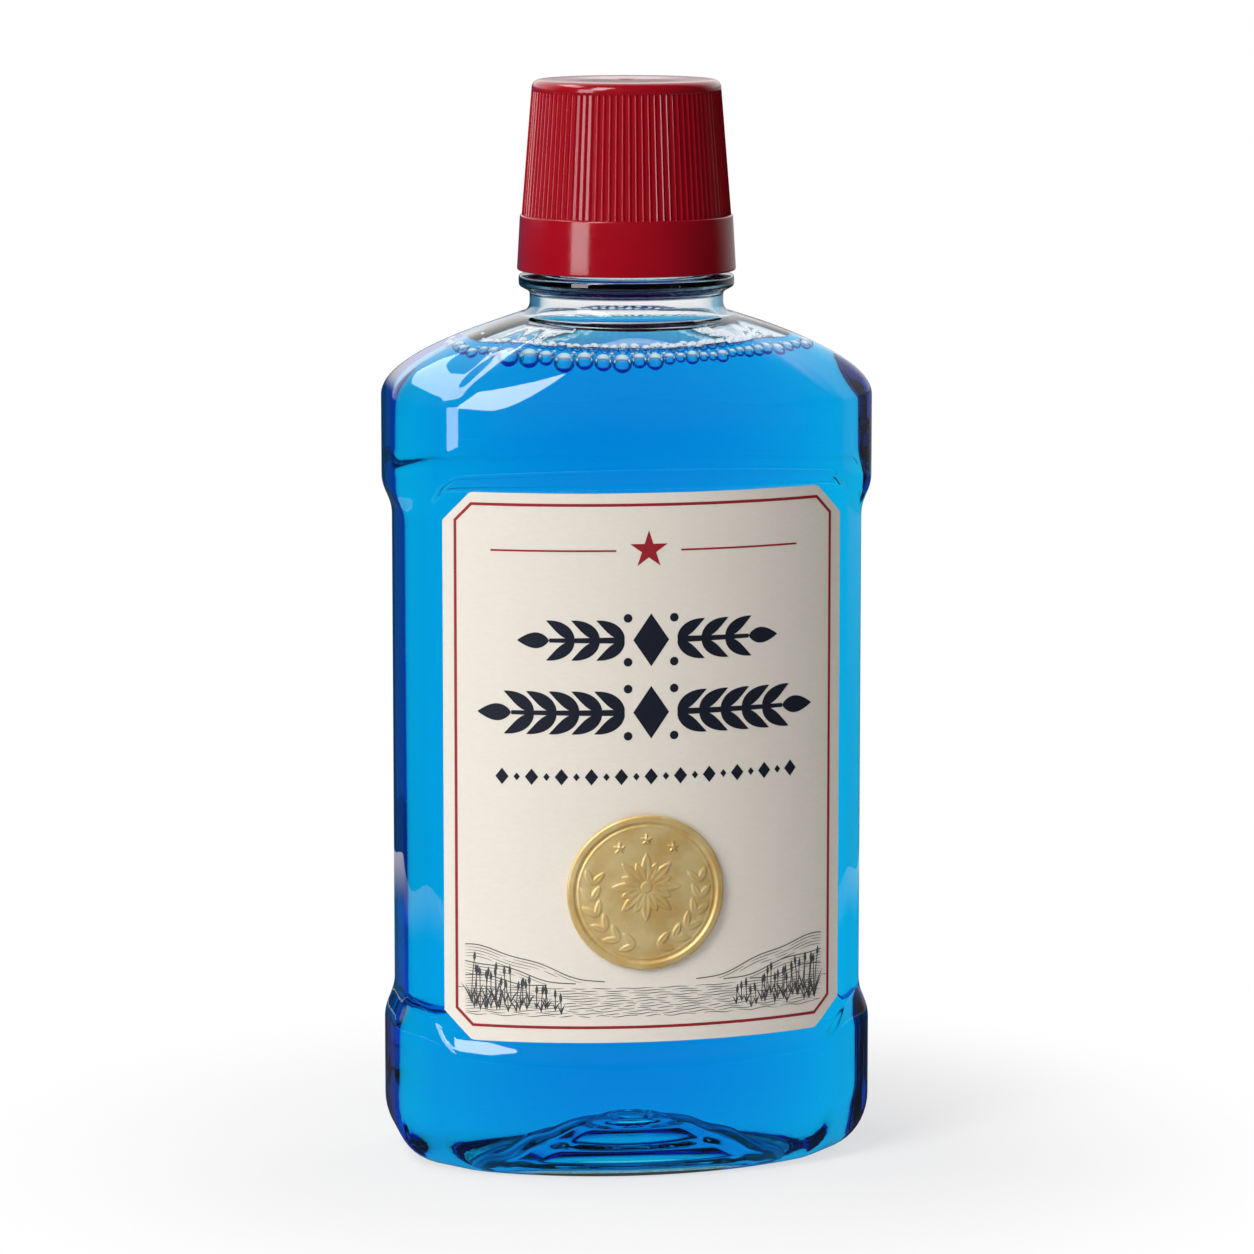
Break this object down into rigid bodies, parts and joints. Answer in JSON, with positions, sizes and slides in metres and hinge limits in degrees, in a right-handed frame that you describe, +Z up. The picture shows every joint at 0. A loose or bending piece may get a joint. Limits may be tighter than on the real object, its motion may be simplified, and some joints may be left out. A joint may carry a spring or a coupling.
{
  "type": "mouthwash bottle",
  "caption": "Clear bowed octagonal bottle of blue mouthwash with a ribbed red screw-on dosing cap and a cream front label with a gold foil seal.",
  "frame": {"origin": "middle of the bottle's standing face", "axes": "+Z up through the neck, -Y out of the labelled front, +X to the right as seen from the front"},
  "size_m": [0.085, 0.054, 0.19],
  "materials": {
    "clear_plastic": "clear glossy PET",
    "blue_rinse": "clear saturated blue liquid",
    "bubble_film": "clear bubble film",
    "cream_paper": "uncoated cream label paper",
    "gold_foil": "embossed satin gold foil",
    "red_plastic": "glossy deep red moulding",
    "white_foam": "matt white foam"
  },
  "bodies": {
    "bottle": {"bottle": "clear_plastic", "mouthwash": "blue_rinse", "bubble_ring": "bubble_film", "front_label": "cream_paper", "foil_seal": "gold_foil"},
    "seal": {"seal_ring": "white_foam"},
    "cap": {"cap_shell": "red_plastic", "dosing_cup": "red_plastic"}
  },
  "joints": [
    {"name": "cap_rise", "type": "slide", "parent": "bottle", "child": "seal", "axis": [0, 0, 1], "range_m": [0, 0.01265]},
    {"name": "cap_turn", "type": "hinge", "parent": "seal", "child": "cap", "pos_m": [0, 0, 0.168], "axis": [0, 0, 1], "range_deg": [0, 1080]}
  ],
  "couplings": [
    {"joint": "cap_rise", "follows": "cap_turn", "m_per_rad": 0.00066845}
  ]
}
